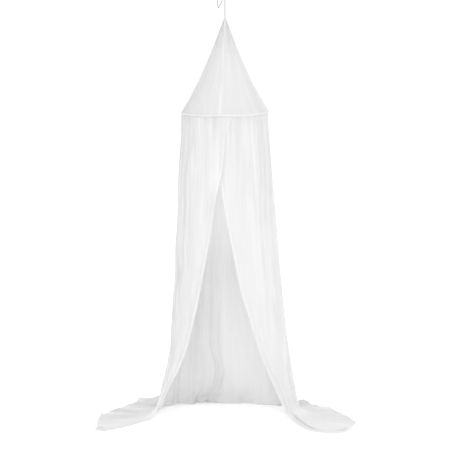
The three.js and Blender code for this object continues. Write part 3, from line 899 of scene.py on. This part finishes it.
# %% The unfolded cloth
def unfolded(panel, across, down):
    """The panel's cloth before its folds, as a grid of points."""
    stations, *rows = zip(*panel.guides)
    waist, knee, ankle, turn, hem = (through(stations, row, across) for row in rows)
    first, last = np.radians(panel.hoop_angle)
    angle = first + (last - first) * across
    lapped = 0.001 * bump(np.degrees(angle) - 262, 16)  # the left width fills out over the right
    radius = HOOP_RADIUS + OVER_HOOP - panel.tuck * ease(across, 0.5, 1) + lapped
    tops = on_hoop(angle, radius, -CASING_RADIUS - GAP)
    bow = panel.bow * ease(across, 0.7, 1)
    turn = turn[:, 0] * (1 - 0.55 * ease(across, 0.7, 0.3))
    heights, sideways = panel.sway
    sways = np.outer(ease(across, 0.85, 1), sideways)
    lines = []
    for i, top in enumerate(tops):
        sway = (heights, sways[i])
        lines.append(guide_line(top, waist[i], knee[i], ankle[i], turn[i], hem[i], bow[i], sway, down))
    return np.array(lines)


# %% [markdown]
# ## The folds of the drape
# The cloth changes on its way down: it has small pleats from its gathered seam, long ripples below them,
# buckles just over the floor, and creases that run outwards on it. Each is one function, which gives the
# height that it lifts the cloth by. place holds the measures of every point, such as its metres from the
# hoop, the hem, the back seam and the front edge.

# %% Folds that hang
LONG_RIPPLES = (  # height, width and length of a ripple in metres, and seed
    (0.0024, 0.058, 1.1, 12), (0.0023, 0.030, 0.9, 10), (0.0010, 0.014, 0.5, 20), (0.0004, 0.0075, 0.35, 27),
)


def main_folds(panel, across, down):
    """How far the main folds lift the cloth, in metres. On the floor only ridges are left, and they are
    soft in the middle of the train."""
    height = 0
    for middle, lean, width, heights in panel.folds:
        size = np.interp(down, FOLD_STATIONS, heights) / 1000
        height = height + size * bump(across - middle - lean * down / 3, width)
    soften = 1 - 0.5 * bump(across - 0.66, 0.20) * ease(down, 1, 1.6)
    return np.where(height < 0, height * ease(down, 2, 1), height * soften)


def ridged(waves):
    """Soft ripples turned into narrow ridges, with wide valleys between them."""
    return 1 - 2 * np.abs(waves)


def gathers(place, seed):
    """Small pleats below the seam that the cloth is gathered into."""
    pleats = ripple(place.round / 0.011, place.from_top / 0.2, seed)
    return 0.0018 * pleats * np.exp(-place.from_top / 0.1)


def long_ripples(place, seed):
    """Ripples that hang straight down, stronger in some parts than in others, and calm near the front."""
    metres, drop = place.round, place.from_top
    height = ripples(metres, drop, seed, LONG_RIPPLES)
    height = height + 0.0007 * ridged(ripple(metres / 0.022, drop / 0.7, seed + 25))
    calm = 1 - 0.7 * bump(place.to_front - 0.11, 0.11)
    strength = np.clip(0.75 + 0.75 * ripple(metres / 0.12, drop / 0.9, seed + 50), 0.1, 1.6) * calm
    return height * strength * place.lively * ease(drop, 0, 0.2)


# %% Folds at the foot and on the floor
def floor_crumples(place, seed):
    """Buckles just over the floor, and creases that run outwards over it, calmer at the back and front."""
    metres, drop, down = place.round, place.from_top, place.down
    buckles = 0.0030 * ridged(ripple(metres / 0.040, drop / 0.05, seed + 30))
    buckles = buckles + 0.0014 * ripple(metres / 0.018, drop / 0.03, seed + 40)
    buckles = buckles * ease(down, 0.82, 1.02) * (1 - 0.6 * ease(down, 1.3, 2))
    calm_back = 0.4 + 0.6 * ease(place.from_seam, 0.3, 0.6)
    calm_front = 0.35 + 0.65 * ease(place.to_front, 0.10, 0.35)
    foot = 0.0045 * ripple(metres / 0.012, down * 1.5, seed + 60) * bump(down - 1.2, 0.5)
    creases = 0.0040 * ridged(ripple(metres / 0.013, drop / 0.25, seed + 80)) * ease(down, 1.3, 1.8)
    low = ease(place.above_floor, 0.22, 0.05) * ease(down, 1.4, 1)
    crumples = 0.0016 * ripple(metres / 0.030, drop / 0.035, seed + 45) * low
    return (buckles + foot * calm_back * calm_front + creases) * place.lively + crumples


def back_bunching(place):
    """Slanting folds where the cloth piles up at the foot of the seam."""
    near = ease(place.from_seam, 0.16, 0.03) * ease(place.above_floor, 0.17, 0.03)
    slanting = place.round + 0.8 * place.above_floor
    return 0.0035 * ridged(ripple(slanting / 0.024, place.above_floor / 0.15, 90.5)) * near


def hem_curls(place, seed):
    """The hem lifts here and there, most of all at the tip of the train, where it is rumpled too."""
    near_hem = ease(place.to_hem, 0.035, 0)
    more_at_tip = 0.4 + 0.6 * ease(place.across, 0.72, 0.92)
    curls = 0.009 * np.maximum(0, ripple(place.width / 0.032, 0.5, seed + 70)) * near_hem * more_at_tip
    at_tip = ease(place.to_hem, 0.070, 0) * ease(place.to_front, 0.16, 0.05)
    rumpled = np.maximum(0, ripple(place.to_front / 0.022, place.to_hem / 0.028, seed + 72))
    return curls + 0.014 * rumpled * at_tip


# %% Shapes of one width alone
PLEAT_HEIGHTS = (0.16, 0.20, 0.24, 0.29, 0.35)
PLEAT_FROM_SEAM = (0.012, 0.016, 0.026, 0.050, 0.068)  # on the right width, at those heights
LEFT_PLEAT_FROM_SEAM = 0.066


def back_pleat(panel, place):
    """The seam's groove, which faces the doorway, and a pleat beside it, which slants on the right."""
    beside, height = place.from_seam, place.above_floor
    if panel is RIGHT:
        pleat = np.interp(height, PLEAT_HEIGHTS, PLEAT_FROM_SEAM)
        groove = ease(beside, pleat + 0.04, pleat)
        shows = ease(height, 0.2, 0.3)
    else:
        pleat = LEFT_PLEAT_FROM_SEAM
        groove = ease(beside, 0.05, 0.012)
        shows = ease(height, 0.2, 0.35)
    ridge = 0.003 * np.clip(1 - np.abs(beside - pleat) / 0.010, 0, 1) * shows
    bulge = ridge - 0.005 * (1 - np.exp(-beside / 0.003)) * groove
    return bulge * ease(height, 1.00, 0.60) * ease(height, 0.01, 0.04)


def creased_stretch(place):
    """How far down the front edge its flat strip goes: over the bend and most of the floor."""
    return ease(place.down, 1.1, 1.8) * ease(place.down, 2.85, 2.5)


def own_shape(panel, place):
    """On the right, a strip along the front edge lies flat on the floor, and the cloth beside it stands up.
    The left width's side hangs out a little above the waist and in below it."""
    if panel is RIGHT:
        inside = place.to_front - FLAT_STRIP
        rise = ease(inside, -0.006, 0.010) * ease(inside, 0.13, 0.03)
        return 0.005 * rise * creased_stretch(place)
    out = 0.009 * bump(place.above_floor - 1.30, 0.26) - 0.007 * bump(place.above_floor - 0.80, 0.17)
    return out * bump(place.across - 0.52, 0.30)


# %% [markdown]
# ## Calm and lively cloth, painted light and painted shade
# Some parts of the cloth hang calmer than others, so the ripples and the material's crinkles share one
# number, lively. Two more numbers paint light and shade into the colour, and the material mixes its colour
# by them. Painted light makes the cloth lighter in its double hems, partly for the double cloth, where it
# laps, over the white floor and high up at the back, where more light comes in. Painted shade makes it
# darker in the back seam, at its crumpled foot, beside the pleats and in the rolled tips of its trains.

# %% Liveliness and tone
def liveliness(panel, place):
    """How strongly each part of the cloth ripples: least at the back and beside the front edge."""
    at_back = ease(place.from_seam, 0.45, 0.25)
    near_front = ease(place.to_front, 0.24, 0.08)
    lower = ease(place.from_top, 0.3, 0.7)
    if panel is LEFT:
        strength = 1.1 + 0.9 * bump(place.from_top - 0.80, 0.65)
        near_front = near_front * (0.7 + 0.3 * lower)
    else:
        strength = 1.1 - 0.35 * lower
        near_front = near_front * (0.8 + 0.2 * lower)
    return strength * (1 - 0.68 * np.maximum(at_back, near_front))


def painted_shade_mask(panel, place, seed):
    """Painted shade: where the cloth is painted darker, for the shade where more cloth lies behind it or
    round it and keeps light out.
    """
    beside, height, down = place.from_seam, place.above_floor, place.down
    crumples = ripple(place.round / 0.022, height / 0.018, seed + 33)
    foot = 0.20 * ease(height, 0.15, 0) + 0.07 * crumples * ease(height, 0.30, 0.15)
    seam = 0.24 * ease(beside, 0.006, 0.003) * ease(height, 0.90, 0.60)
    pleat = 0.15 * ease(height, 1, 0.5)
    if panel is RIGHT:
        pleat = pleat * ease(beside, 0.085, 0.065)
        other = 0.26 * bump(place.across - 0.43, 0.12) * ease(down, 1.2, 1.8)
        other = other + 0.14 * bump(place.to_front - 0.14, 0.08) * ease(height, 1.15, 1.30)
    else:
        other = 0.4 * ease(place.to_front, 0.021, 0.016) * bump(down - 1.15, 0.3)
    inside = (foot * ease(down, 1.3, 1) + pleat) * ease(beside, 0.38, 0.20)
    rolled = ripple(place.to_front / 0.030, place.to_hem / 0.030, seed + 34)
    at_tip = ease(place.to_hem, 0.090, 0.02) * ease(place.to_front, 0.20, 0.06)
    tip = 0.55 * ease(rolled, 0.25, 0.6) * at_tip
    return np.maximum(np.maximum(seam, inside) + other, tip)


def painted_light_mask(panel, place):
    """Painted light: where the cloth is painted lighter. This is in its hems, partly for the double cloth,
    and high up at the back, at its foot and on its train, both near the front, and beside the front edge.
    There the left width laps over the right one, and the right one stands up on the floor."""
    to_front, height = place.to_front, place.above_floor
    hem = 0.12 * ease(place.from_edge, HEM + 0.001, HEM - 0.001)
    high_back = 0.72 * ease(place.from_seam, 0.38, 0.20) * ease(height, 0.75, 1.15)
    foot = 0.40 * bump(to_front - 0.30, 0.28) * ease(height, 0.35, 0.08) * (place.down < 1.3)
    if panel is RIGHT:
        train = 0.34 * ease(to_front, 0.52, 0.05)
        front = 0.6 * bump(to_front - FLAT_STRIP - 0.024, 0.020) * creased_stretch(place)
    else:
        train = 0.45 * ease(to_front, 0.30, 0.05)
        front = 0.30 * ease(to_front, 0.075, 0.03) * ease(height, 1.15, 1.35)
    train = train * ease(place.down, 0.80, 1.15)
    return np.maximum.reduce([hem, high_back, foot, train, front])


# %% [markdown]
# ## Hanging a width
# Each width starts as its plain surface. The main folds lift it, and then all finer shapes do in one step.
# Its front hem is turned in, its lower hem waves over the floor, and nothing may lie under the floor. Last
# it gets its maps, its numbers and a thickness, which is larger in the hem.

# %% Places over the cloth
ROUND_RADIUS = 0.25  # makes metres of the angle round the drape
HEM_SHARE = HEM / 0.8  # the front hem's width as a share of the panel's
HEM_TURN = radians(50)
SEAM_WANDER = (  # heights above the floor, and how far the back seam lies to the right at each of them
    (0, 0.040, 0.063, 0.115, 0.180, 0.236, 0.290, 0.370),
    (-0.050, -0.045, -0.012, 0.016, 0.032, 0.024, 0.008, 0),
)


def panel_across():
    """Places across a panel: closer together beside the back seam and in the hem of the front edge."""
    back = np.linspace(0, 0.09, 28, endpoint=False)
    middle = np.linspace(0.09, 1 - HEM_SHARE, 192, endpoint=False)
    return np.concatenate([back, middle, np.linspace(1 - HEM_SHARE, 1, 9)])


def panel_down():
    """Places down a panel: even on each stretch, but closer together in the bend and in the hem."""
    drop = np.linspace(0, 1, 112, endpoint=False)
    bend = np.linspace(1, 2, 28, endpoint=False)
    run = np.linspace(2, 2.95, 52, endpoint=False)
    return np.concatenate([drop, bend, run, np.linspace(2.95, 3, 8)])


def measure(panel, points, across, down):
    """Where every point of a panel's grid lies, in the measures that the folds are laid out by."""
    place = SimpleNamespace(across=across, down=down, width=across * panel.cut + 0 * down)
    place.from_top = run_lengths(points, 1)
    place.from_seam = run_lengths(points, 0)
    place.to_hem = place.from_top[:, -1:] - place.from_top
    place.to_front = place.from_seam[-1:] - place.from_seam
    place.from_edge = np.minimum(place.to_front, place.to_hem)
    place.round = np.unwrap(np.arctan2(points[..., 1], points[..., 0]), axis=0) * ROUND_RADIUS
    place.above_floor = points[..., 2] - FLOOR
    place.lively = liveliness(panel, place)
    return place


def lifted(panel, points, height):
    """The grid moved off its own surface, outwards, by a height at each point."""
    return points + facing(points) * (panel.side * height)[..., None]


# %% Hems and edges
WAVED_ROWS = 30  # over how many rows of points the train's direction is taken at its hem
HEM_THICKER = 1.7  # how many layers thick the hem looks


def turn_front_hem(panel, points, place):
    """Turn the hem of the front edge in towards the doorway, so that it shows as a flat strip."""
    first = int(np.argmax(place.across.ravel() > 1 - HEM_SHARE - 1e-6))
    hinge, edge = points[first], points[-1]
    along = edge - hinge
    width = np.linalg.norm(along, axis=1, keepdims=True)
    inwards = -facing(points)[first] * panel.side
    angle = HEM_TURN * ease(place.above_floor[-1], 1.25, 0.45) * ease(place.down[0], 1.4, 0.95)
    direction = along / width * np.cos(angle)[:, None] + inwards * np.sin(angle)[:, None]
    moved = hinge + direction * width - edge
    share = np.linspace(0, 1, len(points) - first)[:, None, None]
    turned = points.copy()
    turned[first:] = hinge + direction * width * share
    return turned - moved * ease(place.to_front, 0.10, 0.02)[..., None]


def wave_lower_hem(panel, points, place, seed):
    """Draw the lower hem out and in over the floor, in waves."""
    across = place.across.ravel()
    run = points[:, -1] - points[:, -WAVED_ROWS]
    run /= np.linalg.norm(run, axis=1)[:, None]
    wave = 0.012 * ripple(across * panel.cut / 0.040, 0.5, seed + 75) * ease(across, 0.02, 0.1)
    grows = ease(place.down, 2.2, 3) * ease(1 - place.across, 0, 0.06)
    return points + (run * wave[:, None])[:, None, :] * grows[..., None]


# %% One width of the drape
def shape_panel(panel, seed):
    """The finished surface of a width, and the measures of its points."""
    across, down = panel_across(), panel_down()
    points = unfolded(panel, across, down)
    across, down = across[:, None], down[None, :]
    points = lifted(panel, points, main_folds(panel, across, down))
    place = measure(panel, points, across, down)
    heights, sideways = SEAM_WANDER
    wander = np.interp(place.above_floor, heights, sideways)
    points[..., 0] += wander * ease(place.from_seam, 0.11, 0.02)
    lift = gathers(place, seed) + long_ripples(place, seed) + floor_crumples(place, seed)
    lift = lift + hem_curls(place, seed) + back_bunching(place) + own_shape(panel, place)
    at_seams = ease(place.from_seam, 0, 0.02) * ease(place.from_top, 0, 0.03)
    points = lifted(panel, points, lift * at_seams + back_pleat(panel, place))
    points = turn_front_hem(panel, points, place)
    points = wave_lower_hem(panel, points, place, seed)
    points[..., 2] = np.maximum(points[..., 2], FLOOR + CLOTH_ON_FLOOR)
    # The two panels' edges stand a hair apart at the back seam.
    inwards = points[1] - points[0]
    points[0] += inwards / np.linalg.norm(inwards, axis=1)[:, None] * GAP / 2
    return points, place


def hang_panel(panel, seed):
    points, place = shape_panel(panel, seed)
    maps = {
        "cloth_metres": np.stack([place.width, place.from_top], axis=-1),
        "creases": np.stack([place.round, place.from_top], axis=-1),
    }
    facts = {
        "from_edge": place.from_edge,
        "lively": place.lively,
        # painted light and painted shade for the material to mix into the colour
        "painted_light": painted_light_mask(panel, place),
        "painted_shade": painted_shade_mask(panel, place, seed),
        "creased": creased_stretch(place) * ease(place.across, 0.7, 0.8) * (panel is RIGHT),
    }
    piece = grid_mesh("drape_" + panel.name, points, maps, facts=facts)
    hem = piece.vertex_groups.new(name="hem")
    for share, chosen in ((1.0, place.from_edge < HEM), (0.0, place.from_edge >= HEM)):
        hem.add(np.flatnonzero(chosen).tolist(), share, "REPLACE")
    thicken(piece, HEM_THICKER * CLOTH, thin_share=1 / HEM_THICKER, thick_group="hem")
    smooth(piece)
    piece.data.materials.append(panel_cotton)
    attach(piece, "root")
    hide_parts("panel_" + panel.name)


hang_panel(LEFT, 2.5)
hang_panel(RIGHT, 5.5)

# %% [markdown]
# ## The stage and the light
# The canopy stands out only a little from a white room, so its own shading has to stay soft. A large white
# floor, which glows a little so that it stays white beside the cloth, and an even white sky light it from
# all sides. Six soft lights round and above it are unevenly strong, so that the folds have a lit side.

# %% Stage
FLOOR_GLOW = 0.23
SKY_STRENGTH = 1.02


def stage_floor():
    bpy.ops.object.select_all(action="DESELECT")
    bpy.ops.mesh.primitive_plane_add(size=60, location=(0, 0, FLOOR))
    floor = bpy.context.object
    floor.name = "pale_floor"
    finish = Finish("pale_floor")
    sockets = {"Base Color": (0.92, 0.92, 0.92, 1), "Roughness": 0.9}
    sockets["Emission Color"] = (1, 1, 1, 1)
    sockets["Emission Strength"] = FLOOR_GLOW
    floor.data.materials.append(finish.surface(finish.node("ShaderNodeBsdfPrincipled", sockets=sockets)))


stage_floor()
world = bpy.data.worlds.new("white_room")
world.use_nodes = True
world.node_tree.nodes["Background"].inputs["Color"].default_value = (1, 1, 1, 1)
world.node_tree.nodes["Background"].inputs["Strength"].default_value = SKY_STRENGTH
bpy.context.scene.world = world
bpy.context.scene.view_settings.view_transform = "Standard"

# %% Lights
LIT_PLACE = Vector((0, 0, FLOOR + 1.1))
LIGHT_SIZE = 3.0
LIGHTS = {  # place, with its height above the floor, and power in watts
    "front_light": (0, -7, 2.4, 195),
    "right_light": (6.6, -2, 2.5, 86),
    "left_light": (-6.6, -2, 2.5, 48),
    "back_right_light": (4, 5, 3.5, 168),
    "back_left_light": (-4, 5, 3.5, 98),
    "top_light": (0, -2, 6, 91),
}

for name, (x, y, height, power) in LIGHTS.items():
    place = Vector((x, y, FLOOR + height))
    aim = (LIT_PLACE - place).to_track_quat("-Z", "Y")
    bpy.ops.object.light_add(type="AREA", location=place, rotation=aim.to_euler())
    light = bpy.context.object
    light.name = name
    light.data.shape = "DISK"
    light.data.size = LIGHT_SIZE
    light.data.energy = power
print(len(LIGHTS), "soft lights")

# %% Sizes of the solids
print("solids", [round(b - a, 3) for a, b in zip(CAD_LOW, CAD_HIGH)])
